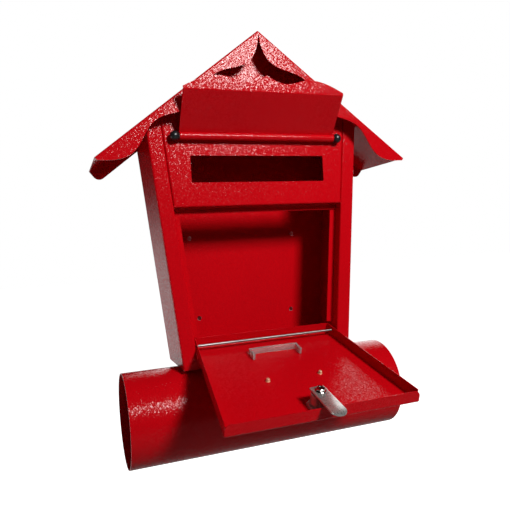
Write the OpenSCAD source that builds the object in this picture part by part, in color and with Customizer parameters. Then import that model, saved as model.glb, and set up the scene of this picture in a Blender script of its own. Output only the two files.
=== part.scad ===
// Wall letter box in folded sheet steel: a tapered body with a gable roof, a lift-up flap over the
// letter slot, a drop-down door with a cam lock, and an open newspaper tube under the body.
// The body's front face is the plane y = 0 and its bottom is z = 0 while the pieces are drawn.
// placed() then moves everything so that the origin lies between the two upper wall holes.

/* [Sheet steel] */
// Thickness of the folded sheet
sheet_t = 1; // [0.8:0.1:1.5]
// Bend radius at the middle of the sheet
bend_r = 1.6; // [1.2:0.1:2.5]
// Gap between two sheets that butt together
seam = 0.15; // [0.1:0.05:0.4]

/* [Body] */
// Width across the bottom
body_bottom_w = 210; // [190:1:240]
// Lean of each side wall away from vertical
side_taper = 5.5; // [3:0.1:7]
// Depth from front to back
body_d = 80; // [70:1:110]
// Width of the upright flange at each side of the front
flange_w = 17.5; // [14:0.5:20]
// Width of the stop lip behind the door opening's edge
lip_w = 7.5; // [5:0.5:8.5]

/* [Door opening] */
// Height of the front strip below the door
strip_h = 11.8; // [10:0.1:15]
// Height of the opening's top edge
opening_top = 182.5; // [170:0.5:190]
// Height of the lip that hangs behind the opening's top edge
top_lip_h = 7; // [5:0.5:9]

/* [Roof] */
// Height of the ridge
ridge_z = 380; // [365:1:395]
// Slope of each roof side
roof_slope = 37.6; // [34:0.2:40]
// Half the roof's width at the eaves
eave_x = 188; // [180:1:200]
// How far the roof stands in front of the body
roof_front = 19; // [16:0.5:22]
// Depth of the flange that laps behind the back panel
rear_flange = 16.5; // [12:0.5:20]
// Deepest drop of the front board's waves
wave_deep = 20.5; // [18:0.5:22]
// Shallowest drop of the front board's waves
wave_shallow = 8.6; // [7:0.2:10]
// Width of the cut in the front board at the ridge
ridge_slit = 1.4; // [0.8:0.1:2]

/* [Letter slot and flap] */
// Width of plain sheet between each end of the slot and the body's lower corner
slot_side = 22; // [20:1:36]
// Height of the letter slot
slot_h = 30.5; // [25:0.5:32]
// Height of the slot's lower edge
slot_z = 210; // [206:0.5:212]
// Height of the flap's hinge line
flap_axis_z = 261; // [259:0.5:264]
// Diameter of the flap's hinge rod
flap_rod_d = 6; // [5:0.5:6]
// Thickness of the flap's sheet
flap_t = 1.2; // [1:0.1:1.4]
// Length of the flap from its hinge line to the fold
flap_len = 53; // [51:0.5:54]
// Width that the flap covers past each end of the slot
flap_cover = 12.5; // [10:0.5:13]
// Bend of the flap's outer edge away from the flap
hem_bend = 37; // [20:1:45]
// Height of the edge's two broad waves
hem_wave = 15.5; // [13:0.5:17]

/* [Door] */
// Depth of the door's folded edges
door_depth = 13.5; // [12:0.5:14]
// Height of the door's hinge rod
rod_z = 24.5; // [23.5:0.1:26]
// Distance of the hinge rod behind the front face
rod_y = 9; // [8:0.1:9.5]
// Diameter of the door's hinge rod
rod_d = 3; // [2.5:0.5:3.5]
// Gap above and below the closed door
door_gap = 0.6; // [0.4:0.1:1.5]

/* [Cam lock] */
// Diameter of the lock's threaded housing
lock_d = 18; // [16:0.5:19]
// Height of the lock's axis above the hinge rod
lock_rise = 137.5; // [130:0.1:140]
// Length of the housing behind the door's outer face
lock_len = 16.5; // [15:0.5:18]
// Width of the nut across its flats
nut_af = 22; // [21:0.5:24]
// Width of the cam
cam_w = 16; // [14:0.5:18]
// Length of the cam from the lock's axis to its tip
cam_reach = 41; // [36:0.5:44]
// Turn of the cam from straight up
cam_turn = 2.5; // [0:0.5:6]

/* [Name pocket and studs] */
// Width of the clear pocket
pocket_w = 60; // [50:1:70]
// Length of its two short arms
pocket_arm = 16; // [12:0.5:20]
// Height of its walls
pocket_h = 7; // [4:0.5:8]
// Distance between the two studs
stud_apart = 61; // [50:1:70]

/* [Newspaper tube] */
// Outer diameter of the tube
tube_d = 106; // [90:1:110]
// Length of the tube
tube_len = 332; // [300:1:360]
// How far the tube's middle sits to the left
tube_shift = 4; // [0:0.5:8]

/* [Wall holes] */
// Diameter of the wall holes
hole_d = 5.5; // [4.5:0.5:7]
// Distance between the upper pair
upper_apart = 142; // [120:1:150]
// Distance between the lower pair
lower_apart = 128; // [110:1:140]
// Height of the upper pair
upper_z = 149; // [140:1:160]
// Height of the lower pair
lower_z = 47; // [40:1:60]

/* [Hidden] */
$fn = 64;

red = "firebrick";
steel = "silver";
tall = 600;                                       // longer than any piece, for trimming
bend_steps = 6;
edge_steps = 48;

taper_run = tan(side_taper);
half_bottom = body_bottom_w / 2;
flange_run = flange_w * cos(side_taper);          // the flange's width square to the side wall
stop_gap = 0.3;                                   // left between a piece and the stop it rests on
run_gap = 0.075;                                  // radial play of a hinge on its rod
stop_y = door_depth + stop_gap;                   // front of the stop lips

roof_peak = ridge_z - sheet_t / cos(roof_slope);  // under the ridge
corner_x = (half_bottom + taper_run * roof_peak) / (1 + taper_run * tan(roof_slope));
corner_z = roof_peak - corner_x * tan(roof_slope);
roof_len = eave_x / cos(roof_slope);
wave_first = 33;                                  // along the slope, to the first low point
wave_last = 205;                                  // and to the third
wave_end = 35;                                    // run of the curve that closes each end

// The door hangs open with its outer face on the front strip's top edge.
door_drop = rod_z - strip_h;
door_open = atan2(door_drop, rod_y) + acos((rod_y + stop_gap) / norm([door_drop, rod_y]));
door_low = strip_h + door_gap + 0.5;
door_high = opening_top - door_gap;
door_side_gap = 0.3 + taper_run * (door_drop + rod_y);
lip_low = rod_z + door_depth - rod_y + 4;         // clear of the open door's folded edge
lip_high = opening_top - top_lip_h - 2;

// The raised flap rests against the lowest part of the front board that it crosses.
slot_w = body_bottom_w - 2 * slot_side;
flap_w = slot_w + 2 * flap_cover;
knuckle_in = flap_rod_d / 2 + run_gap;
knuckle_out = knuckle_in + flap_t;
flap_axis_y = -knuckle_out - 1.5;
board_edge = [for (i = [0:edge_steps]) board_point(roof_len * i / edge_steps)];
board_low = min([for (p = board_edge) if (p[0] < flap_w / 2 + 3) p[1]]);
board_at = [-roof_front - flap_axis_y, board_low - flap_axis_z];
flap_lean = atan2(board_at[1], board_at[0]) - acos((knuckle_out + stop_gap) / norm(board_at));
hem_valley = 0.63 * hem_wave;
hem_crest_x = 0.555 * flap_w / 2;
hem_valley_x = 0.25 * flap_w / 2;
hem_cusp = 18.2;

pivot_r = knuckle_out + 1.3;
pivot_gap = 0.5;
pivot_cut = 0.8;                                  // flat on the ball beside the flap's end
pivot_x = flap_w / 2 + pivot_gap + pivot_r - pivot_cut;
pivot_foot = 1.6;
peg_d = 4.6;
clip_t = 0.5;
rod_end = half_w(rod_z) - flange_w + 5;
clear_x = half_bottom - sheet_t - 4;
floor_edge = 8;
ridge_r = 3;

lock_z = rod_z + lock_rise;
lock_head = 2.5;
plug_d = 0.64 * lock_d;
nut_t = 3.5;
cam_t = 2;
cam_y = lock_len + 0.5;
cam_back = 8.5;
tail = 7;                                         // square end of the plug that carries the cam
screw_d = 4;
washer_d = 11;
washer_t = 0.9;

pocket_wall = 2.7;
pocket_z = rod_z + 18;
stud_z = rod_z + 80.3;
stud_d = 4;

tube_y = body_d + sheet_t - tube_d / 2;           // flush with the roof's flange at the wall
tube_z = -tube_d / 2;
rivet_d = 4;
rivet_x = 62;

// Half the body's outer width at a height.
function half_w(z) = half_bottom + taper_run * z;
// A vector turned a quarter to the left.
function left_of(v) = [-v[1], v[0]];
function unit(v) = v / norm(v);
function turned(v, a) = [v[0] * cos(a) - v[1] * sin(a), v[0] * sin(a) + v[1] * cos(a)];
// The signed angle from one heading to the next.
function turn_angle(v, w) = atan2(v[0] * w[1] - v[1] * w[0], v * w);

// One bend of a sheet as places and headings, between the points a and b around the corner p.
function bend(a, p, b, r) =
    let (into = unit(p - a), angle = turn_angle(into, unit(b - p)))
    let (side = sign(angle), start = p - into * r * tan(abs(angle) / 2))
    let (centre = start + side * r * left_of(into))
    [for (i = [0:bend_steps])
        let (along = turned(into, angle * i / bend_steps))
        [centre - side * r * left_of(along), along]];

// The whole run of a folded sheet through its corner points.
function run_of(pts, r) = concat(
    [[pts[0], unit(pts[1] - pts[0])]],
    [for (i = [1:len(pts) - 2]) each bend(pts[i - 1], pts[i], pts[i + 1], r)],
    [[pts[len(pts) - 1], unit(pts[len(pts) - 1] - pts[len(pts) - 2])]]);

// How far the roof's front board drops below the roof, along the slope.
function board_drop(u) =
    u < wave_first ? wave_deep * cos(90 * (wave_first - u) / wave_end) :
    u > wave_last ? wave_deep * cos(90 * (u - wave_last) / (wave_end + 2)) :
    (wave_deep + wave_shallow) / 2 + (wave_deep - wave_shallow) / 2
        * cos(720 * (u - wave_first) / (wave_last - wave_first));
// The same edge as x and z on the front of the roof.
function board_point(u) = let (h = board_drop(u))
    [u * cos(roof_slope) - h * sin(roof_slope), ridge_z - u * sin(roof_slope) - h * cos(roof_slope)];

// The height of the flap's wavy hem above the fold, at a distance from its middle.
function hem_height(x) =
    x < hem_valley_x ? hem_valley + (hem_cusp - hem_valley) * (1 - sin(90 * x / hem_valley_x)) :
    x < hem_crest_x ? (hem_wave + hem_valley) / 2 - (hem_wave - hem_valley) / 2
        * cos(180 * (x - hem_valley_x) / (hem_crest_x - hem_valley_x)) :
    hem_wave * cos(80 * (x - hem_crest_x) / (flap_w / 2 - hem_crest_x));

module placed() translate([0, -body_d, -upper_z]) children();

// A sheet folded along a run of corner points, seen from its end.
module fold(pts, t = sheet_t, r = bend_r) {
    run = run_of(pts, r);
    last = len(run) - 1;
    polygon(concat(
        [for (s = run) s[0] + left_of(s[1]) * t / 2],
        [for (i = [0:last]) run[last - i][0] - left_of(run[last - i][1]) * t / 2]));
}

// A rectangle whose two corners on the low x side are rounded.
module soft_edge(x0, y0, x1, y1, r) {
    translate([x0 + r, y0]) square([x1 - x0 - r, y1 - y0]);
    translate([x0, y0 + r]) square([r, y1 - y0 - 2 * r]);
    for (y = [y0 + r, y1 - r]) translate([x0 + r, y]) circle(r);
}

// A centred box outline from z0 to z1 with small round corners.
module soft_box(w, z0, z1, r) {
    translate([-w / 2 + r, z0]) square([w - 2 * r, z1 - z0]);
    translate([-w / 2, z0 + r]) square([w, z1 - z0 - 2 * r]);
    for (x = [r - w / 2, w / 2 - r], z = [z0 + r, z1 - r]) translate([x, z]) circle(r);
}

// An outline in x and z, made solid from y0 to y1.
module plate(y0, y1) translate([0, y1, 0]) rotate([90, 0, 0]) linear_extrude(y1 - y0) children();

// An outline in y and z, made solid along x and centred.
module bar(w) rotate([90, 0, 90]) translate([0, 0, -w / 2]) linear_extrude(w) children();

// The left wall's own frame: x runs in from its outer face and z up along it.
module for_sides() translate([-half_bottom, 0, 0]) rotate([0, -side_taper, 0]) children();

// A plan outline, upright along the left side wall, and its mirror image along the right.
module along_sides(z0, z1) {
    for (side = [0, 1]) mirror([side, 0, 0]) for_sides()
        translate([0, 0, z0]) linear_extrude(z1 - z0) children();
}

// The body's front outline under the roof, with its sides moved in.
module body_outline(inset = 0, low = 0) intersection() {
    polygon([[-half_w(low) + inset, low], [half_w(low) - inset, low],
             [half_w(tall) - inset, tall], [-half_w(tall) + inset, tall]]);
    polygon([[0, roof_peak], [eave_x, roof_peak - eave_x * tan(roof_slope)], [eave_x, -tall],
             [-eave_x, -tall], [-eave_x, roof_peak - eave_x * tan(roof_slope)]]);
}

module door_posed() translate([0, rod_y, rod_z]) rotate([door_open, 0, 0])
    translate([0, -rod_y, -rod_z]) children();

module lock_posed() translate([0, 0, lock_z]) rotate([0, cam_turn, 0]) children();

// A round bar along y from one depth to another.
module pin(d, y0, y1) translate([0, y0, 0]) rotate([-90, 0, 0]) cylinder(d = d, h = y1 - y0);

// A round bar along x, centred.
module axle(d, w) rotate([0, 90, 0]) cylinder(d = d, h = w, center = true);

module wall_holes() {
    for (hole = [[upper_apart / 2, upper_z], [lower_apart / 2, lower_z]], side = [-1, 1])
        translate([side * hole[0], 0, hole[1]]) pin(hole_d, body_d - 3, body_d + 3);
}

// Side walls, back, front flanges and the stop lips behind the opening, folded from one sheet.
module body_shell() placed() color(red) difference() {
    mid = sheet_t / 2;
    inner = flange_run - mid;
    intersection() {
        union() {
            along_sides(-20, tall) fold([[inner, stop_y + sheet_t], [inner, mid], [mid, mid],
                                         [mid, body_d - mid], [160, body_d - mid]]);
            along_sides(lip_low, lip_high) fold([[inner, bend_r + sheet_t], [inner, stop_y + mid],
                                                 [flange_run + lip_w, stop_y + mid]]);
        }
        // The back's top edge stays clear of the bend in the roof's rear flange.
        union() {
            plate(-1, body_d - bend_r - sheet_t) body_outline(-2);
            translate([0, 0, -bend_r]) plate(-1, body_d + 1) body_outline(-2, bend_r);
        }
    }
    wall_holes();
    translate([0, rod_y, rod_z]) axle(rod_d + 2 * run_gap, 2 * rod_end);
    // The returns stop just above the floor.
    translate([-clear_x, sheet_t, -1]) cube([2 * clear_x, stop_y + sheet_t, 1 + sheet_t + 2 * seam]);
}

// Upper front with the letter slot, and the lip that stops the door's free edge.
module front_panel() placed() color(red) difference() {
    mid = sheet_t / 2;
    edge = flange_run + seam * cos(side_taper) + mid;
    plain = opening_top + bend_r + sheet_t;
    union() {
        intersection() {
            along_sides(opening_top - 40, tall) fold([[edge, stop_y - 2], [edge, mid], [160, mid]]);
            plate(-1, body_d) body_outline(0, plain);
        }
        intersection() {
            bar(2 * eave_x) fold([[mid, plain + seam], [mid, opening_top + mid],
                                  [stop_y + mid, opening_top + mid],
                                  [stop_y + mid, opening_top - top_lip_h]]);
            plate(-1, body_d) body_outline(flange_w + 2 * seam);
        }
    }
    plate(-1, sheet_t + 1) soft_box(slot_w, slot_z, slot_z + slot_h, 1.5);
    for (x = [-pivot_x, pivot_x]) translate([x, 0, flap_axis_z]) pin(peg_d + 0.2, -1, sheet_t + 1);
}

// Floor with the strip below the door in front and low flanges against the walls.
module bottom_plate() placed() color(red) difference() {
    mid = sheet_t / 2;
    back = body_d - sheet_t - seam;
    low_x = half_w(mid) - sheet_t - seam - mid;
    high_x = low_x + taper_run * floor_edge;
    union() {
        intersection() {
            bar(2 * half_bottom) fold([[mid, strip_h], [mid, mid], [back - mid, mid], [back - mid, floor_edge]]);
            plate(-1, body_d) body_outline(flange_w + seam);
        }
        plate(stop_y + sheet_t + 2, back - 2) fold([[-high_x, floor_edge], [-low_x, mid], [low_x, mid],
                                                    [high_x, floor_edge]]);
        translate([-clear_x, sheet_t + seam, 0]) cube([2 * clear_x, stop_y + 4, sheet_t]);
    }
    for (x = [-rivet_x, rivet_x]) translate([x, tube_y, 0]) cylinder(d = rivet_d + 0.1, h = 9, center = true);
}

// One roof side: the slope, the wavy front board and the flange behind the back panel.
module roof_side() {
    mid = sheet_t / 2;
    round_r = 8;
    intersection() {
        translate([0, 0, ridge_z]) rotate([0, roof_slope, 0]) intersection() {
            translate([roof_len / 2, 0, 0]) bar(roof_len)
                fold([[body_d + mid, -tall / 10], [body_d + mid, -mid], [mid - roof_front, -mid],
                      [mid - roof_front, -tall / 10]]);
            union() {
                plate(-roof_front - 1, 0) polygon(concat([[0, 5], [roof_len, 5]],
                    [for (i = [edge_steps:-1:0]) [roof_len * i / edge_steps,
                                                  -board_drop(roof_len * i / edge_steps)]]));
                plate(0, body_d + sheet_t + 1) {
                    translate([0, round_r - rear_flange]) square([roof_len, rear_flange]);
                    translate([0, -rear_flange]) square([roof_len - round_r, rear_flange]);
                    translate([roof_len - round_r, round_r - rear_flange]) circle(round_r);
                }
            }
        }
        translate([0, -tall / 2, 0]) cube(tall);
    }
}

// Two slopes from one sheet over the ridge, with the front board split where it bends.
module roof() placed() color(red) {
    centre_z = ridge_z - ridge_r / cos(roof_slope);
    touch = ridge_r * [sin(roof_slope), cos(roof_slope)];
    difference() {
        for (side = [0, 1]) mirror([side, 0, 0]) roof_side();
        translate([-ridge_slit / 2, -roof_front - 1, ridge_z - 60])
            cube([ridge_slit, 1 + sheet_t + bend_r, 60 - 2 * ridge_r]);
        plate(-roof_front - 1, body_d + 2) difference() {
            polygon([[0, ridge_z + 1], [-touch[0], centre_z + touch[1]], [0, centre_z],
                     [touch[0], centre_z + touch[1]]]);
            translate([0, centre_z]) circle(ridge_r);
        }
    }
}

module newspaper_tube() placed() color(red) difference() {
    translate([-tube_shift, tube_y, tube_z]) axle(tube_d, tube_len);
    translate([-tube_shift, tube_y, tube_z]) axle(tube_d - 2 * sheet_t, tube_len + 2);
    for (x = [-rivet_x, rivet_x]) translate([x, tube_y, 0]) cylinder(d = rivet_d + 0.1, h = 9, center = true);
}

// Two blind rivets hold the tube to the floor.
module tube_rivets() placed() color(steel) {
    for (x = [-rivet_x, rivet_x]) translate([x, tube_y, 0]) {
        translate([0, 0, -sheet_t - 0.2]) cylinder(d = rivet_d, h = 2 * sheet_t + 0.3);
        translate([0, 0, -sheet_t - 1.6]) cylinder(d = 2 * rivet_d, h = 1.4);
        translate([0, 0, sheet_t]) cylinder(d = 1.5 * rivet_d, h = 2.2);
    }
}

module door_rod() placed() color(steel) translate([0, rod_y, rod_z]) axle(rod_d, 2 * rod_end);

// Push-on washers that keep the rod in the body's two folded returns.
module door_rod_clips() placed() color(steel) {
    for (side = [-1, 1]) translate([side * (rod_end - 2), rod_y, rod_z]) difference() {
        axle(rod_d + 5, clip_t);
        axle(rod_d + 0.02, clip_t + 1);
    }
}

module flap_rod() placed() color(steel) translate([0, flap_axis_y, flap_axis_z])
    axle(flap_rod_d, 2 * pivot_x + pivot_r);

// A plastic ball that carries one end of the flap's rod and snaps into the front panel.
module flap_pivot() translate([pivot_x, 0, flap_axis_z]) difference() {
    union() {
        intersection() {
            translate([0, flap_axis_y, 0]) sphere(pivot_r, $fn = 12);
            translate([pivot_cut - pivot_r, -3 * pivot_r, -pivot_r]) cube(4 * pivot_r);
        }
        pin(1.6 * pivot_r, -pivot_foot, 0, $fn = 12);
        pin(peg_d, -pivot_foot / 2, sheet_t + 2, $fn = 12);
        pin(peg_d + 1, sheet_t, sheet_t + 1, $fn = 12);
    }
    translate([0.5 - pivot_r / 2, flap_axis_y, 0]) axle(flap_rod_d + 2 * run_gap, 2 * pivot_r);
}
module flap_pivot_left() placed() color("black") mirror([1, 0, 0]) flap_pivot();
module flap_pivot_right() placed() color("black") flap_pivot();

// Everything to the right of the door's left edge.
module door_side(start, inset, r) for_sides() translate([0, 0, -tall / 2]) linear_extrude(2 * tall)
    soft_edge(start, inset, 2 * body_bottom_w, 2 * body_bottom_w, r);

// The door's form filled in, with its outer edges rounded; moved in, it is the hollow.
module door_block(inset, depth) {
    r = bend_r + sheet_t / 2 - inset;
    start = flange_run + door_side_gap * cos(side_taper) + inset;
    intersection() {
        door_side(start, inset, r);
        mirror([1, 0, 0]) door_side(start, inset, r);
        bar(body_bottom_w) soft_edge(inset, door_low + inset, depth, door_high - inset, r);
        translate([-body_bottom_w, -1, 0]) cube([2 * body_bottom_w, 1 + depth, tall]);
    }
}

// Drop-down door: a shallow tray whose folded edges swing on the rod.
module door_panel() placed() color(red) door_posed() difference() {
    corner_r = 6;
    free_x = half_w(door_high) - flange_w - door_side_gap;
    door_block(0, door_depth);
    door_block(sheet_t, 2 * door_depth);
    translate([0, rod_y, rod_z]) axle(rod_d + 2 * run_gap, body_bottom_w);
    translate([0, 0, lock_z]) plate(-1, sheet_t + 1) lock_shape(0.1);
    for (side = [0, 1]) mirror([side, 0, 0]) translate([free_x - corner_r, door_depth - corner_r, door_high - 3])
        difference() {
            cube([2 * corner_r, 2 * corner_r, 4]);
            translate([0, 0, -1]) cylinder(r = corner_r, h = 6);
        }
}

// Clear U-shaped rail that holds a name card.
module name_pocket() placed() color("lightpink") door_posed()
    translate([0, 0, pocket_z]) plate(sheet_t, sheet_t + pocket_h) {
        translate([-pocket_w / 2, 0]) square([pocket_w, pocket_wall]);
        for (x = [-pocket_w / 2, pocket_w / 2 - pocket_wall]) translate([x, 0]) square([pocket_wall, pocket_arm]);
    }

// A weld stud on its small round foot.
module stud(side) placed() color("peru") door_posed() translate([side * stud_apart / 2, 0, stud_z]) {
    pin(stud_d + 1, sheet_t, sheet_t + 0.7);
    pin(stud_d, sheet_t, sheet_t + 2.8);
    translate([0, sheet_t + 2.8, 0]) rotate([-90, 0, 0]) cylinder(d1 = stud_d, d2 = 0.7 * stud_d, h = 0.6);
}
module stud_left() stud(-1);
module stud_right() stud(1);

// A threaded barrel's section, flattened on two sides so that it can't turn in the door.
module lock_shape(gap) intersection() {
    circle(d = lock_d + 2 * gap);
    square([lock_d + 2 * gap + 1, 0.88 * lock_d + 2 * gap], center = true);
}

// Lock housing with its round head on the door's outer face.
module lock_housing() placed() color(steel) door_posed() translate([0, 0, lock_z]) difference() {
    union() {
        plate(0, lock_len) lock_shape(0);
        translate([0, -lock_head, 0]) rotate([-90, 0, 0])
            cylinder(d1 = lock_d + 3, d2 = lock_d + 6, h = lock_head);
    }
    pin(plug_d + 2 * run_gap, -lock_head - 1, lock_len + 1);
}

module lock_nut() placed() color(steel) door_posed() translate([0, 0, lock_z]) difference() {
    rotate([0, 30, 0]) plate(sheet_t, sheet_t + nut_t) circle(d = nut_af / cos(30), $fn = 6);
    pin(lock_d + 0.1, 0, sheet_t + nut_t + 1);
}

// The core that the key turns, with a square end for the cam.
module lock_plug() placed() color(steel) door_posed() lock_posed() difference() {
    union() {
        pin(plug_d, -lock_head - 0.3, cam_y);
        translate([-tail / 2, cam_y - 1, -tail / 2]) cube([tail, cam_t + 0.8, tail]);
    }
    translate([-1, -lock_head - 1, -3.5]) cube([2, 8, 7]);
    pin(screw_d + 0.1, lock_len - 8, cam_y + 5);
}

module lock_cam() placed() color(steel) door_posed() lock_posed() plate(cam_y, cam_y + cam_t) difference() {
    union() {
        translate([-cam_w / 2, -cam_back]) square([cam_w, cam_back + cam_reach - cam_w / 2]);
        translate([0, cam_reach - cam_w / 2]) circle(d = cam_w);
    }
    square(tail + 0.1, center = true);
}

module cam_washer() placed() color(steel) door_posed() lock_posed() difference() {
    pin(washer_d, cam_y + cam_t, cam_y + cam_t + washer_t);
    pin(screw_d + 0.3, cam_y, cam_y + 2 * cam_t);
}

module cam_screw() placed() color(steel) door_posed() lock_posed() {
    head = cam_y + cam_t + washer_t;
    pin(screw_d, lock_len - 7, head + 1);
    intersection() {
        plate(head, head + 3.4) circle(d = 8 / cos(30), $fn = 6);
        translate([0, head - 3.6, 0]) sphere(7.4);
    }
}

// Letter flap: a rolled knuckle on the rod, a flat cover and a wavy hem bent out from it.
module flap() placed() color(red) translate([0, flap_axis_y, flap_axis_z]) rotate([flap_lean, 0, 0]) {
    mid = knuckle_out - flap_t / 2;
    gap_angle = 50;
    bar(flap_w) difference() {
        circle(knuckle_out);
        circle(knuckle_in);
        polygon([[0, 0], [9, 0], [9, 9 * tan(gap_angle)]]);
    }
    intersection() {
        bar(flap_w) fold([[mid, 0], [mid, flap_len],
                          [mid + 30 * sin(hem_bend), flap_len + 30 * cos(hem_bend)]], flap_t);
        union() {
            translate([-flap_w, -flap_len, -1]) cube([2 * flap_w, 2 * flap_len, flap_len - 1]);
            translate([0, mid, flap_len]) rotate([-hem_bend, 0, 0]) plate(-6, 6) polygon(concat(
                [[-flap_w / 2, -6]],
                [for (i = [-edge_steps:edge_steps]) let (x = flap_w / 2 * i / edge_steps)
                    [x, hem_height(abs(x))]],
                [[flap_w / 2, -6]]));
        }
    }
}

body_shell();
front_panel();
bottom_plate();
roof();
newspaper_tube();
tube_rivets();
door_rod();
door_rod_clips();
flap_rod();
flap_pivot_left();
flap_pivot_right();
door_panel();
name_pocket();
stud_left();
stud_right();
lock_housing();
lock_nut();
lock_plug();
lock_cam();
cam_washer();
cam_screw();
flap();
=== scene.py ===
"""Looks of a red wall letter box: finishes, small detailed pieces, lamps, floor and camera."""

import math

import bmesh
import bpy
from bpy.props import FloatProperty, FloatVectorProperty, PointerProperty
from mathutils import Matrix, Vector


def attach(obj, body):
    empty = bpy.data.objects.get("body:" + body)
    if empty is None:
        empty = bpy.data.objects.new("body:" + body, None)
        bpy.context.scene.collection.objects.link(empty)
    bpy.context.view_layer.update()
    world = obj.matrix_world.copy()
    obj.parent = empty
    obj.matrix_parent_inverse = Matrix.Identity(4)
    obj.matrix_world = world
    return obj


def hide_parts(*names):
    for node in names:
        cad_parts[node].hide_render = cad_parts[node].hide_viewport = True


bl_info = {
    "name": "Letter Box Looks",
    "version": (1, 0, 0),
    "blender": (4, 5, 0),
    "location": "3D View > Sidebar > Letter Box",
    "description": "Finishes and dresses the packed wall letter box",
    "category": "Object",
}

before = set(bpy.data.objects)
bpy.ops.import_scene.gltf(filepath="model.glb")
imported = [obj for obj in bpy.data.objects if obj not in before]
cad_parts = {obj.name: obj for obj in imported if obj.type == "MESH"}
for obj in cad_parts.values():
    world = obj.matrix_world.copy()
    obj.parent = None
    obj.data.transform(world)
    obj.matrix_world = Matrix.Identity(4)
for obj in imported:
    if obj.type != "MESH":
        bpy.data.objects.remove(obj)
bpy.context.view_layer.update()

SHEET_NODES = ("body_shell", "front_panel", "bottom_plate", "roof", "newspaper_tube", "door_panel", "flap")
CLIP_NODES = ("door_rod_clips",)
ROD_NODES = ("door_rod", "flap_rod")
PLUG_NODES = ("lock_plug",)

# Sizes and places in millimetres, with the body's front face at y = 0 and its underside at z = 0.
SHEET = 1.0
BODY_DEPTH = 80.0
UPPER_HOLES = 149.0
STRIP_TOP = 11.8
STOP_GAP = 0.3
ROD_Y, ROD_Z = 9.0, 24.5
DOOR_DROP = ROD_Z - STRIP_TOP
POCKET_Z = 42.5
STUD_X, STUD_Z = 30.5, 104.8
LOCK_Z = 162.0
CAM_FRONT, CAM_BACK = 17.0, 19.0
FLAP_Y, FLAP_Z = -5.775, 261.0
PIVOT_X = 100.775
RIVET_X, RIVET_Y = 62, 28
WELD_X, WELD_Z = 92.6, 11.6

# How far the door hangs open on the strip's edge and how far the cam leans, in radians.
DOOR_OPEN = math.atan2(DOOR_DROP, ROD_Y) + math.acos((ROD_Y + STOP_GAP) / math.hypot(DOOR_DROP, ROD_Y))
CAM_TURN = math.radians(2.5)


class Wire:
    """An output socket whose arithmetic adds Math nodes to its material."""

    def __init__(self, paint, socket):
        self.paint = paint
        self.socket = socket

    def _math(self, operation, first, second):
        return self.paint.node("ShaderNodeMath", {"operation": operation}, {0: first, 1: second})

    def __add__(self, other):
        return self._math("ADD", self, other)

    def __radd__(self, other):
        return self._math("ADD", other, self)

    def __sub__(self, other):
        return self._math("SUBTRACT", self, other)

    def __rsub__(self, other):
        return self._math("SUBTRACT", other, self)

    def __mul__(self, other):
        return self._math("MULTIPLY", self, other)

    def __rmul__(self, other):
        return self._math("MULTIPLY", other, self)


class Paint:
    """The nodes of one material or world."""

    def __init__(self, owner):
        owner.use_nodes = True
        self.owner = owner
        self.tree = owner.node_tree
        self.tree.nodes.clear()

    def node(self, kind, settings=None, values=None, out=0):
        """Adds a node, sets its settings first and then its sockets, and returns one output."""
        made = self.tree.nodes.new(kind)
        for key, value in (settings or {}).items():
            setattr(made, key, value)
        for key, value in (values or {}).items():
            socket = made.inputs[key]
            if isinstance(value, Wire):
                self.tree.links.new(value.socket, socket)
            elif socket.type == "RGBA" and len(value) == 3:
                socket.default_value = (*value, 1)
            else:
                socket.default_value = value
        return Wire(self, made.outputs[out])

    def places(self, stretch=(1, 1, 1)):
        """Object coordinates, which are metres in the part's own frame."""
        here = self.node("ShaderNodeTexCoord", out="Object")
        return self.node("ShaderNodeMapping", {}, {0: here, "Scale": stretch})

    def part_of(self, vector, axis):
        """One coordinate of a vector: 0 is x, 1 is y and 2 is z."""
        return self.node("ShaderNodeSeparateXYZ", {}, {0: vector}, out=axis)

    def rays(self):
        """Three masks: rays from the camera, glossy rays and rays through clear plastic."""
        camera = self.node("ShaderNodeLightPath", out="Is Camera Ray")
        outputs = camera.socket.node.outputs
        return camera, Wire(self, outputs["Is Glossy Ray"]), Wire(self, outputs["Is Transmission Ray"])

    def noise(self, scale, detail=2.0, rough=0.5, stretch=(1, 1, 1)):
        return self.node("ShaderNodeTexNoise", {}, {
            "Vector": self.places(stretch), "Scale": scale, "Detail": detail, "Roughness": rough})

    def spread(self, value, low, high, to_low=0.0, to_high=1.0):
        """Maps a value from one range to another, kept within it."""
        return self.node("ShaderNodeMapRange", {}, {
            0: value, 1: low, 2: high, 3: to_low, 4: to_high})

    def blend(self, factor, first, second):
        """Mixes two colours."""
        return self.node("ShaderNodeMix", {"data_type": "RGBA"}, {0: factor, 6: first, 7: second}, out=2)

    def vector(self, operation, first, second=None):
        """Adds a Vector Math node."""
        values = {0: first} if second is None else {0: first, 1: second}
        return self.node("ShaderNodeVectorMath", {"operation": operation}, values)

    def bump(self, height, strength, distance, under=None):
        values = {"Strength": strength, "Distance": distance, "Height": height}
        if under is not None:
            values["Normal"] = under
        return self.node("ShaderNodeBump", {}, values)

    def finish(self, **values):
        """Ends the material in one Principled shader."""
        values = {key.replace("_", " "): value for key, value in values.items()}
        shader = self.node("ShaderNodeBsdfPrincipled", {}, values)
        self.end(shader)
        return self.owner

    def end(self, shader):
        made = self.tree.nodes.new("ShaderNodeOutputMaterial")
        self.tree.links.new(shader.socket, made.inputs[0])


def new_paint(name):
    return Paint(bpy.data.materials.new(name))


def put_on(obj, material):
    """Gives every slot of an object the same material."""
    if not obj.data.materials:
        obj.data.materials.append(material)
    for index in range(len(obj.data.materials)):
        obj.data.materials[index] = material


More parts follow.
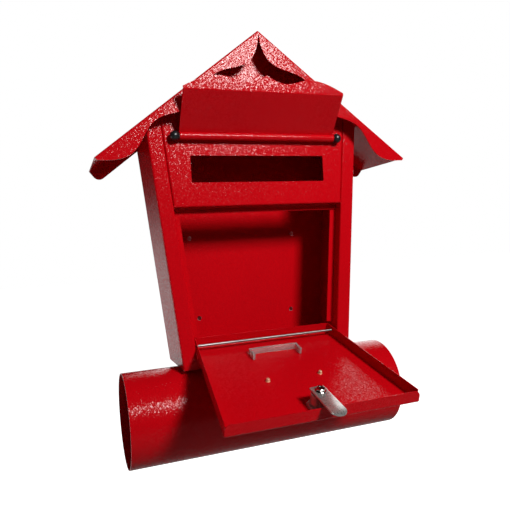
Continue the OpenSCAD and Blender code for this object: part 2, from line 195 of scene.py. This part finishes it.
def powder_coat(name, red, grain):
    """Fine-texture red powder coat: an even colour whose small grains break up a highlight."""
    grain_scale, grain_tilt, dust_height = 1000.0, 0.185, 0.00012
    paint = new_paint(name)
    cloud = paint.noise(9, 3)
    dust = paint.noise(900, 2)
    darker = tuple(0.94 * c for c in red)
    colour = paint.blend(paint.spread(cloud, 0.35, 0.65), darker, red)
    grains = paint.node(
        "ShaderNodeTexVoronoi", {}, {"Vector": paint.places(), "Scale": grain_scale}, out="Color")
    centred = paint.vector("SUBTRACT", grains, (0.5, 0.5, 0.5))
    tilt = paint.vector("MULTIPLY", centred, (grain_tilt * grain,) * 3)
    straight = paint.node("ShaderNodeNewGeometry", out="Normal")
    facet = paint.vector("NORMALIZE", paint.vector("ADD", tilt, straight))
    return paint.finish(
        Base_Color=colour, Roughness=paint.spread(dust, 0.3, 0.7, 0.13, 0.2),
        Normal=paint.bump(dust, 0.7, dust_height * grain, facet), IOR=1.45, Specular_IOR_Level=0.21)


def metal(name, colour, rough, scale=900, depth=0.00004, streak=(1, 1, 1), metallic=1.0):
    """Plated steel with fine marks, drawn out along one direction where streak is uneven."""
    paint = new_paint(name)
    marks = paint.noise(scale, 3, 0.6, streak)
    blotch = paint.noise(140, 2)
    darker = tuple(0.8 * c for c in colour)
    tint = paint.blend(paint.spread(blotch, 0.35, 0.65), darker, colour)
    return paint.finish(
        Base_Color=tint, Metallic=metallic,
        Roughness=paint.spread(marks, 0.3, 0.7, rough * 0.8, rough * 1.3),
        Normal=paint.bump(marks, 0.4, depth))


def moulded(name, colour, rough):
    """Glossy black plastic with a slightly uneven surface."""
    paint = new_paint(name)
    marks = paint.noise(600, 2)
    return paint.finish(
        Base_Color=colour, Roughness=paint.spread(marks, 0.3, 0.7, rough * 0.85, rough * 1.2),
        Normal=paint.bump(marks, 0.25, 0.00008))


def clear_plastic(name, tint):
    """Clear extruded plastic with faint lines along its length."""
    paint = new_paint(name)
    lines = paint.noise(500, 2, 0.5, (0.05, 1, 1))
    return paint.finish(
        Base_Color=tint, Roughness=paint.spread(lines, 0.3, 0.7, 0.04, 0.1),
        Transmission_Weight=0.8, IOR=1.49, Normal=paint.bump(lines, 0.3, 0.0001))


def at(x, y, z):
    """A point of the body drawing in millimetres, as metres in the part's frame."""
    return Vector((x, y - BODY_DEPTH, z - UPPER_HOLES)) / 1000


def drawn():
    """Places what is drawn in millimetres, with the body's front face at y = 0 and its underside at z = 0."""
    return Matrix.Translation(at(0, 0, 0)) @ Matrix.Scale(0.001, 4)


def on_door(z):
    """The open door's frame at a height of the door, as it is when shut."""
    turn = Matrix.Translation((0, ROD_Y, ROD_Z)) @ Matrix.Rotation(DOOR_OPEN, 4, "X")
    return drawn() @ turn @ Matrix.Translation((0, -ROD_Y, z - ROD_Z))


def on_cam():
    """The cam's frame, turned in the open door."""
    return on_door(LOCK_Z) @ Matrix.Rotation(CAM_TURN, 4, "Y")


def hexagon(flats, start=0.0):
    """Gives a radius limit that makes a turned form six-sided."""
    def limit(angle):
        off = (angle - start + math.pi / 6) % (math.pi / 3) - math.pi / 6
        return flats / 2 / math.cos(off)
    return limit


def turn_round(bm, profile, steps=64, limit=None, place=Matrix(), closed=False):
    """Turns a run of (depth, radius) points about the y axis; limit gives the most radius at an angle."""
    rings = []
    for depth, radius in profile:
        ring = []
        for index in range(steps if radius > 0 else 1):
            angle = 2 * math.pi * index / steps
            reach = min(radius, limit(angle)) if limit else radius
            point = Vector((reach * math.cos(angle), depth, reach * math.sin(angle)))
            ring.append(bm.verts.new(place @ point))
        rings.append(ring)
    pairs = list(zip(rings, rings[1:] + rings[:1])) if closed else list(zip(rings, rings[1:]))
    for one, two in pairs:
        for index in range(steps):
            after = (index + 1) % steps
            corners = [one[index % len(one)], one[after % len(one)],
                       two[after % len(two)], two[index % len(two)]]
            corners = list(dict.fromkeys(corners))
            if len(corners) > 2:
                bm.faces.new(corners)


def cut_plate(bm, outline, y0, y1):
    """Makes an outline in x and z solid from one depth to another."""
    front = [bm.verts.new((x, y0, z)) for x, z in outline]
    back = [bm.verts.new((x, y1, z)) for x, z in outline]
    bm.faces.new(front)
    bm.faces.new(back[::-1])
    for index in range(len(outline)):
        after = (index + 1) % len(outline)
        bm.faces.new((front[after], front[index], back[index], back[after]))


def ease_edges(bm, width):
    """Rounds every sharp edge of a mesh."""
    least = 40
    bmesh.ops.recalc_face_normals(bm, faces=bm.faces)
    sharp = [e for e in bm.edges if len(e.link_faces) == 2 and math.degrees(e.calc_face_angle(0)) > least]
    bmesh.ops.bevel(bm, geom=sharp, offset=width, segments=2, profile=0.5, affect="EDGES")


def fit_piece(name, bm, place, body, slot, material, *stands_for):
    """Turns a mesh into a piece of the part that rides on a body."""
    bmesh.ops.recalc_face_normals(bm, faces=bm.faces)
    bm.transform(place)
    mesh = bpy.data.meshes.new(name)
    bm.to_mesh(mesh)
    bm.free()
    mesh.shade_smooth()
    mesh.set_sharp_from_angle(angle=math.radians(32))
    mesh.materials.append(material)
    piece = bpy.data.objects.new(name, mesh)
    bpy.context.scene.collection.objects.link(piece)
    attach(piece, body)
    if stands_for:
        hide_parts(*stands_for)


def ball_pivot(word, side, material):
    """A plastic ball, cut flat beside the flap's end, on a foot that plugs into the front panel."""
    radius, flat, steps = 5.575, 4.775, 28
    seam_steps, seam_rise = (13, 14), 0.07
    ball = [(-flat, 0.0), (-flat, math.sqrt(radius ** 2 - flat ** 2))]
    start = math.acos(-flat / radius)
    for index in range(1, steps):
        angle = start * (1 - index / steps)
        reach = radius + (seam_rise if index in seam_steps else 0.0)
        ball.append((reach * math.cos(angle), reach * math.sin(angle)))
    ball.append((radius, 0.0))
    foot = [(-1.6, 0.0), (-1.6, 4.1), (-1.35, 4.4), (-0.25, 4.46), (0, 4.3), (0, 2.3), (1, 2.3),
            (1.05, 2.78), (2, 2.75), (2.9, 2.3), (3, 2.0), (3, 0.0)]
    across = Matrix.Rotation(math.radians(-90 * side), 4, "Z")
    bm = bmesh.new()
    turn_round(bm, ball, 56, place=Matrix.Translation((0, FLAP_Y, 0)) @ across)
    turn_round(bm, foot, 40)
    place = drawn() @ Matrix.Translation((side * PIVOT_X, 0, FLAP_Z))
    fit_piece("ball_pivot_" + word, bm, place, "case", "black_plastic", material, "flap_pivot_" + word)


def name_rail(material):
    """The clear U-shaped strip that holds a name card, open at the top."""
    half, wall, arm, height = 30.0, 2.7, 16.0, 7.0
    outline = [(-half, 0), (half, 0), (half, arm), (half - wall, arm), (half - wall, wall),
               (wall - half, wall), (wall - half, arm), (-half, arm)]
    bm = bmesh.new()
    cut_plate(bm, outline, SHEET, SHEET + height)
    ease_edges(bm, 0.35)
    fit_piece("name_rail", bm, on_door(POCKET_Z), "door", "clear_plastic", material, "name_pocket")


def weld_stud(word, side, material):
    """A weld stud with a low collar, three grooves and a rounded end."""
    profile = [(1, 0.0), (1, 2.5), (1.5, 2.5), (1.68, 2.35), (1.74, 2.0), (2.2, 2.0), (2.35, 1.9),
               (2.5, 2.0), (2.75, 2.0), (2.9, 1.9), (3.05, 2.0), (3.3, 2.0), (3.45, 1.9), (3.6, 2.0),
               (3.9, 1.95), (4.2, 1.7), (4.4, 1.4), (4.4, 0.0)]
    bm = bmesh.new()
    turn_round(bm, profile, 40, place=Matrix.Translation((side * STUD_X, 0, 0)))
    fit_piece("weld_stud_" + word, bm, on_door(STUD_Z), "door", "copper", material, "stud_" + word)


def threaded_housing(material):
    """The lock's housing: a flange outside the door and a thread with a flat at its top and bottom."""
    bore, root, crest, half_height, end = 5.84, 8.45, 9.0, 7.92, 16.5
    profile = [(-2.5, bore), (-2.5, 10.2), (-2.2, 10.6), (-0.3, 11.9), (0, 12.0), (0, crest)]
    for turn in range(1, 16):
        profile += [(turn - 0.25, crest), (turn, root), (turn + 0.25, crest)]
    profile += [(16.1, crest), (end, 8.6), (end, bore)]
    bm = bmesh.new()
    turn_round(bm, profile, 72, closed=True)
    for vert in bm.verts:
        if vert.co.y > 0.01:
            vert.co.z = max(-half_height, min(half_height, vert.co.z))
    fit_piece("threaded_housing", bm, on_door(LOCK_Z), "door", "nickel", material, "lock_housing")


def hexagon_nut(material):
    """The nut that holds the housing in the door, chamfered on both faces."""
    flats, bore = 22.0, 9.05
    profile = [(SHEET, bore), (SHEET, 11.1), (1.55, 12.7), (3.95, 12.7), (4.5, 11.1), (4.5, 9.3),
               (4.2, bore)]
    bm = bmesh.new()
    turn_round(bm, profile, 96, hexagon(flats), closed=True)
    fit_piece("hexagon_nut", bm, on_door(LOCK_Z), "door", "nickel", material, "lock_nut")


def cam_plate(material):
    """The flat cam, round at its tip and with two cut corners at its tail."""
    half, centre, tail, corner, steps = 8, 33, -8.5, 1, 24
    tip = [(half * math.cos(math.pi * i / steps), centre + half * math.sin(math.pi * i / steps))
           for i in range(steps + 1)]
    outline = [(corner - half, tail), (half - corner, tail), (half, tail + corner), *tip,
               (-half, tail + corner)]
    bm = bmesh.new()
    cut_plate(bm, outline, CAM_FRONT, CAM_BACK)
    ease_edges(bm, 0.3)
    fit_piece("cam_plate", bm, on_cam(), "lock_cam_set", "zinc", material, "lock_cam")


def plain_washer(material):
    """The washer between the cam and its screw."""
    bore, front, back = 2.15, CAM_BACK, 19.9
    profile = [(front, bore), (front, 5.3), (19.15, 5.5), (19.65, 5.5), (back, 5.25), (back, bore)]
    bm = bmesh.new()
    turn_round(bm, profile, 56, closed=True)
    fit_piece("plain_washer", bm, on_cam(), "lock_cam_set", "zinc", material, "cam_washer")


def hexagon_screw(material):
    """The cam's hexagon screw with a cross recess in its head."""
    flats, steps = 8.0, 72
    bm = bmesh.new()
    shank_and_head = [(9.5, 0.0), (9.5, 1.7), (9.9, 2.0), (19.9, 2.0), (19.9, 4.62), (21.7, 4.62),
                      (22.5, 4.35), (23.1, 3.6), (23.3, 2.9)]
    turn_round(bm, shank_and_head, steps, hexagon(flats, math.pi / 6))
    turn_round(bm, [(23.3, 2.9), (23.25, 2.4)], steps)
    turn_round(bm, [(23.25, 2.4), (22.3, 1.6), (21.9, 0.0)], steps,
               lambda angle: 1.45 + 0.95 * abs(math.cos(2 * angle)) ** 3)
    fit_piece("hexagon_screw", bm, on_cam(), "lock_cam_set", "zinc", material, "cam_screw")


def blind_rivets(material):
    """The two blind rivets that hold the tube under the floor."""
    profile = [(-2.6, 0.0), (-2.6, 1.4), (-2.3, 3.0), (-1.7, 3.9), (-1.2, 4.0), (-1.2, 2.0), (1, 2.0),
               (1, 3.0), (2.2, 3.0), (2.9, 2.5), (3.2, 1.6), (3.2, 0.8), (2.5, 0.7), (2.5, 0.0)]
    bm = bmesh.new()
    for x in (-RIVET_X, RIVET_X):
        place = Matrix.Translation((x, RIVET_Y, 0)) @ Matrix.Rotation(math.radians(90), 4, "X")
        turn_round(bm, profile, 40, place=place)
    fit_piece("blind_rivets", bm, drawn(), "case", "zinc", material, "tube_rivets")


def weld_spots(material):
    """The two coated weld spots at the ends of the strip below the door."""
    profile = [(-0.75, 0.0), (-0.72, 0.7), (-0.5, 1.3), (-0.2, 1.7), (0.15, 1.85), (0.4, 1.6), (0.5, 0.0)]
    bm = bmesh.new()
    for x in (-WELD_X, WELD_X):
        place = Matrix.Translation((x, 0, WELD_Z)) @ Matrix.Diagonal((1, 1, 1.35, 1))
        turn_round(bm, profile, 28, place=place)
    fit_piece("weld_spots", bm, drawn(), "case", "powder_coat", material)


def surroundings(scene, fill):
    """White to the camera, with a weak even fill and a bright part for reflections and clear plastic."""
    world = bpy.data.worlds.new("surroundings")
    scene.world = world
    paint = Paint(world)
    way = paint.node("ShaderNodeTexCoord", out="Generated")
    # The bright part lies low down and behind the box; elsewhere reflections see it dark.
    low_down = paint.spread(paint.part_of(way, 2), -0.15, 0.08, 1.0, 0.01)
    behind = paint.spread(paint.part_of(way, 1), 0.1, 0.7, 0.01, 1.0)
    camera, glossy, through = paint.rays()
    others = (1 - camera) * (1 - glossy) * (1 - through)
    strength = camera + (glossy + through) * (low_down * behind) + others * fill
    back = paint.node("ShaderNodeBackground", {}, {0: (1, 1, 1), 1: strength})
    out = paint.tree.nodes.new("ShaderNodeOutputWorld")
    paint.tree.links.new(back.socket, out.inputs[0])


def pale_floor(scene, height):
    """A floor that is paler to the camera than to bounced light, so that it lights the box only weakly."""
    half = 12
    mesh = bpy.data.meshes.new("floor")
    corners = [(-half, -half, 0), (half, -half, 0), (half, half, 0), (-half, half, 0)]
    mesh.from_pydata(corners, [], [(0, 1, 2, 3)])
    floor = bpy.data.objects.new("floor", mesh)
    scene.collection.objects.link(floor)
    floor.location.z = height
    paint = new_paint("pale_floor")
    camera, glossy, through = paint.rays()
    tone = paint.blend(camera, (0.3, 0.3, 0.3), (0.9, 0.9, 0.9))
    matt = paint.node("ShaderNodeBsdfDiffuse", {}, {0: tone})
    here = paint.node("ShaderNodeTexCoord", out="Object")
    apart = paint.node("ShaderNodeVectorMath", {"operation": "LENGTH"}, {0: here}, out="Value")
    seen = paint.spread(apart, 0.4, 1.4, 0.92, 1.0)
    mirrored = paint.spread(paint.part_of(here, 1), 0.1, 0.9, 0.0, 0.55)
    strength = camera * seen + (glossy + through) * mirrored
    glow = paint.node("ShaderNodeEmission", {}, {0: (1, 1, 1), 1: strength})
    paint.end(paint.node("ShaderNodeAddShader", {}, {0: matt, 1: glow}))
    mesh.materials.append(paint.owner)


def shaded_wall_strip(scene):
    """A dark grey strip behind the wall holes whose colour is painted shade that makes them look dark; only
    the camera sees it and only from the front.
    """
    low, high = at(-80, 85, 36), at(80, 85, 158)
    mesh = bpy.data.meshes.new("shaded_wall_strip")
    mesh.from_pydata([low, (high.x, low.y, low.z), high, (low.x, low.y, high.z)], [], [(0, 1, 2, 3)])
    wall = bpy.data.objects.new("shaded_wall_strip", mesh)
    scene.collection.objects.link(wall)
    paint = new_paint("painted_shade_wall")
    # The strip's dark grey is painted shade: it stands in for a pale wall seen in shade through the holes.
    face = paint.node("ShaderNodeBsdfDiffuse", {}, {0: (0.3, 0.3, 0.3)})
    clear = paint.node("ShaderNodeBsdfTransparent")
    turned_away = paint.node("ShaderNodeNewGeometry", out="Backfacing")
    seen = paint.node("ShaderNodeLightPath", out="Is Camera Ray") * (1 - turned_away)
    paint.end(paint.node("ShaderNodeMixShader", {}, {0: seen, 1: clear, 2: face}))
    mesh.materials.append(paint.owner)


def light(name, place, target, power, side):
    """A square soft lamp that faces a point."""
    data = bpy.data.lights.new(name, "AREA")
    data.shape = "RECTANGLE"
    data.size = side
    data.size_y = side
    data.energy = power
    lamp = bpy.data.objects.new(name, data)
    bpy.context.scene.collection.objects.link(lamp)
    lamp.location = place
    lamp.rotation_euler = (Vector(target) - Vector(place)).to_track_quat("-Z", "Y").to_euler()


def aim_camera(scene):
    """Sets the camera's lens, place and turn as they were fitted to the photograph."""
    place = (-0.2307, -0.6691, -0.0156)
    yaw, pitch, roll = math.radians(20.31), math.radians(-0.83), math.radians(-3.384)
    data = bpy.data.cameras.new("camera")
    data.sensor_width = 36
    data.lens = 37.88
    data.clip_start = 0.01
    camera = bpy.data.objects.new("camera", data)
    scene.collection.objects.link(camera)
    ahead = Vector((math.sin(yaw) * math.cos(pitch), math.cos(yaw) * math.cos(pitch), math.sin(pitch)))
    level = Vector((math.cos(yaw), -math.sin(yaw), 0))
    above = level.cross(ahead)
    right = level * math.cos(roll) + above * math.sin(roll)
    up = above * math.cos(roll) - level * math.sin(roll)
    turn = Matrix((right, up, -ahead)).transposed()
    camera.matrix_world = Matrix.Translation(place) @ turn.to_4x4()
    scene.camera = camera


class CoatSettings(bpy.types.PropertyGroup):
    red: FloatVectorProperty(
        name="Red", description="Colour of the powder coat", subtype="COLOR", size=3,
        min=0, max=1, default=(0.60, 0.0015, 0.006))
    grain: FloatProperty(
        name="Grain", description="How strongly the coat's grains show", min=0, max=3, default=1.0)


class PlatingSettings(bpy.types.PropertyGroup):
    zinc: FloatVectorProperty(
        name="Zinc", description="Colour of the zinc plated pieces", subtype="COLOR", size=3,
        min=0, max=1, default=(0.74, 0.72, 0.69))
    nickel: FloatVectorProperty(
        name="Nickel", description="Colour of the nickel plated lock", subtype="COLOR", size=3,
        min=0, max=1, default=(0.70, 0.68, 0.65))
    copper: FloatVectorProperty(
        name="Copper", description="Colour of the copper plated studs", subtype="COLOR", size=3,
        min=0, max=1, default=(0.95, 0.55, 0.33))


class PlasticSettings(bpy.types.PropertyGroup):
    black: FloatVectorProperty(
        name="Black", description="Colour of the flap's pivots", subtype="COLOR", size=3,
        min=0, max=1, default=(0.012, 0.012, 0.014))
    clear: FloatVectorProperty(
        name="Clear", description="Tint of the clear name pocket", subtype="COLOR", size=3,
        min=0, max=1, default=(0.95, 0.88, 0.88))


class StageSettings(bpy.types.PropertyGroup):
    lamp: FloatProperty(
        name="Main lamp", description="Power of the soft main lamp, in watts", min=0, default=20.0)
    side: FloatProperty(
        name="Side fill", description="Power of the large weak lamp at the left, in watts",
        min=0, default=4.5)
    back: FloatProperty(
        name="Back fill", description="Power of the soft lamp behind the box, in watts",
        min=0, default=11.0)
    fill: FloatProperty(
        name="Fill", description="Strength of the light from all round", min=0, default=0.07)
    floor_z: FloatProperty(
        name="Floor height", description="Height of the floor", subtype="DISTANCE", unit="LENGTH",
        default=-0.62)


class LETTERBOX_OT_powder_coat(bpy.types.Operator):
    """Coats every folded sheet piece and the tube"""

    bl_idname = "letterbox.powder_coat"
    bl_label = "Powder Coat"

    def execute(self, context):
        size = context.scene.letterbox_coat
        coat = powder_coat("red_powder_coat", tuple(size.red), size.grain)
        for name in SHEET_NODES:
            put_on(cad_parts[name], coat)
        return {"FINISHED"}


class LETTERBOX_OT_plating(bpy.types.Operator):
    """Plates the rods, the clips and the lock's plug"""

    bl_idname = "letterbox.plating"
    bl_label = "Plating"

    def execute(self, context):
        tint = context.scene.letterbox_plating
        zinc = metal("zinc_plate", tuple(tint.zinc), 0.30, depth=0.00005)
        rod = metal("bright_rod", tuple(0.42 * c for c in tint.zinc), 0.4, streak=(0.02, 1, 1))
        nickel = metal("nickel_plate", tuple(tint.nickel), 0.16, 700, 0.00003)
        for names, material in ((CLIP_NODES, zinc), (ROD_NODES, rod), (PLUG_NODES, nickel)):
            for name in names:
                put_on(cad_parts[name], material)
        return {"FINISHED"}


class LETTERBOX_OT_pivots(bpy.types.Operator):
    """Turns the two plastic balls that carry the flap's rod"""

    bl_idname = "letterbox.pivots"
    bl_label = "Ball Pivots"

    def execute(self, context):
        black = moulded("black_nylon", tuple(context.scene.letterbox_plastic.black), 0.3)
        ball_pivot("left", -1, black)
        ball_pivot("right", 1, black)
        return {"FINISHED"}


class LETTERBOX_OT_door_pieces(bpy.types.Operator):
    """Makes the clear name pocket and the two weld studs on the door's inner face"""

    bl_idname = "letterbox.door_pieces"
    bl_label = "Pocket and Studs"

    def execute(self, context):
        name_rail(clear_plastic("clear_rail", tuple(context.scene.letterbox_plastic.clear)))
        copper = metal("copper_plate", tuple(context.scene.letterbox_plating.copper), 0.3, metallic=0.35)
        weld_stud("left", -1, copper)
        weld_stud("right", 1, copper)
        return {"FINISHED"}


class LETTERBOX_OT_cam_lock(bpy.types.Operator):
    """Makes the lock's threaded housing, its nut, the cam, the washer and the screw"""

    bl_idname = "letterbox.cam_lock"
    bl_label = "Cam Lock"

    def execute(self, context):
        tint = context.scene.letterbox_plating
        cast = metal("lock_casting", tuple(tint.nickel), 0.22, 700, 0.00003, metallic=0.6)
        steel = metal("cam_steel", tuple(tint.zinc), 0.3, 800, streak=(1, 1, 0.05), metallic=0.8)
        bright = metal("screw_plate", tuple(tint.nickel), 0.12, 700, 0.00002)
        threaded_housing(cast)
        hexagon_nut(cast)
        cam_plate(steel)
        plain_washer(bright)
        hexagon_screw(bright)
        return {"FINISHED"}


class LETTERBOX_OT_case_pieces(bpy.types.Operator):
    """Makes the blind rivets over the tube and the coated weld spots beside the door strip"""

    bl_idname = "letterbox.case_pieces"
    bl_label = "Rivets and Weld Spots"

    def execute(self, context):
        blind_rivets(metal("rivet_zinc", tuple(context.scene.letterbox_plating.zinc), 0.32, depth=0.00005))
        size = context.scene.letterbox_coat
        weld_spots(powder_coat("coated_weld", tuple(size.red), size.grain))
        return {"FINISHED"}


class LETTERBOX_OT_stage(bpy.types.Operator):
    """Lays the floor and sets the lamps, the surroundings and the camera"""

    bl_idname = "letterbox.stage"
    bl_label = "Stage"

    def execute(self, context):
        size = context.scene.letterbox_stage
        context.scene.view_settings.view_transform = "Standard"
        surroundings(context.scene, size.fill)
        pale_floor(context.scene, size.floor_z)
        shaded_wall_strip(context.scene)
        light("main_lamp", (0.384, -1.305, 0.727), (0, -0.05, 0.0), size.lamp, 0.29)
        light("side_fill", (-1.3, 0.2, -0.4), (0, 0, 0), size.side, 0.7)
        light("back_fill", (0.7, 1.3, 0.5), (0, 0, 0), size.back, 1.3)
        aim_camera(context.scene)
        return {"FINISHED"}


class LETTERBOX_PT_panel(bpy.types.Panel):
    """Buttons and sizes for the letter box"""

    bl_idname = "LETTERBOX_PT_panel"
    bl_label = "Letter Box"
    bl_space_type = "VIEW_3D"
    bl_region_type = "UI"
    bl_category = "Letter Box"

    def draw(self, context):
        for group in GROUPS:
            settings = getattr(context.scene, group)
            for name in settings.bl_rna.properties.keys():
                if name not in ("rna_type", "name"):
                    self.layout.prop(settings, name)
        for step in STEPS:
            self.layout.operator(step.bl_idname)


GROUPS = {
    "letterbox_coat": CoatSettings,
    "letterbox_plating": PlatingSettings,
    "letterbox_plastic": PlasticSettings,
    "letterbox_stage": StageSettings,
}
STEPS = (LETTERBOX_OT_powder_coat, LETTERBOX_OT_plating, LETTERBOX_OT_pivots, LETTERBOX_OT_door_pieces,
         LETTERBOX_OT_cam_lock, LETTERBOX_OT_case_pieces, LETTERBOX_OT_stage)


def register():
    for name, group in GROUPS.items():
        bpy.utils.register_class(group)
        setattr(bpy.types.Scene, name, PointerProperty(type=group))
    for step in STEPS:
        bpy.utils.register_class(step)
    bpy.utils.register_class(LETTERBOX_PT_panel)


def unregister():
    bpy.utils.unregister_class(LETTERBOX_PT_panel)
    for step in STEPS:
        bpy.utils.unregister_class(step)
    for name, group in GROUPS.items():
        delattr(bpy.types.Scene, name)
        bpy.utils.unregister_class(group)


def main():
    register()
    for step in STEPS:
        package, name = step.bl_idname.split(".")
        getattr(getattr(bpy.ops, package), name)()


if __name__ == "__main__":
    main()
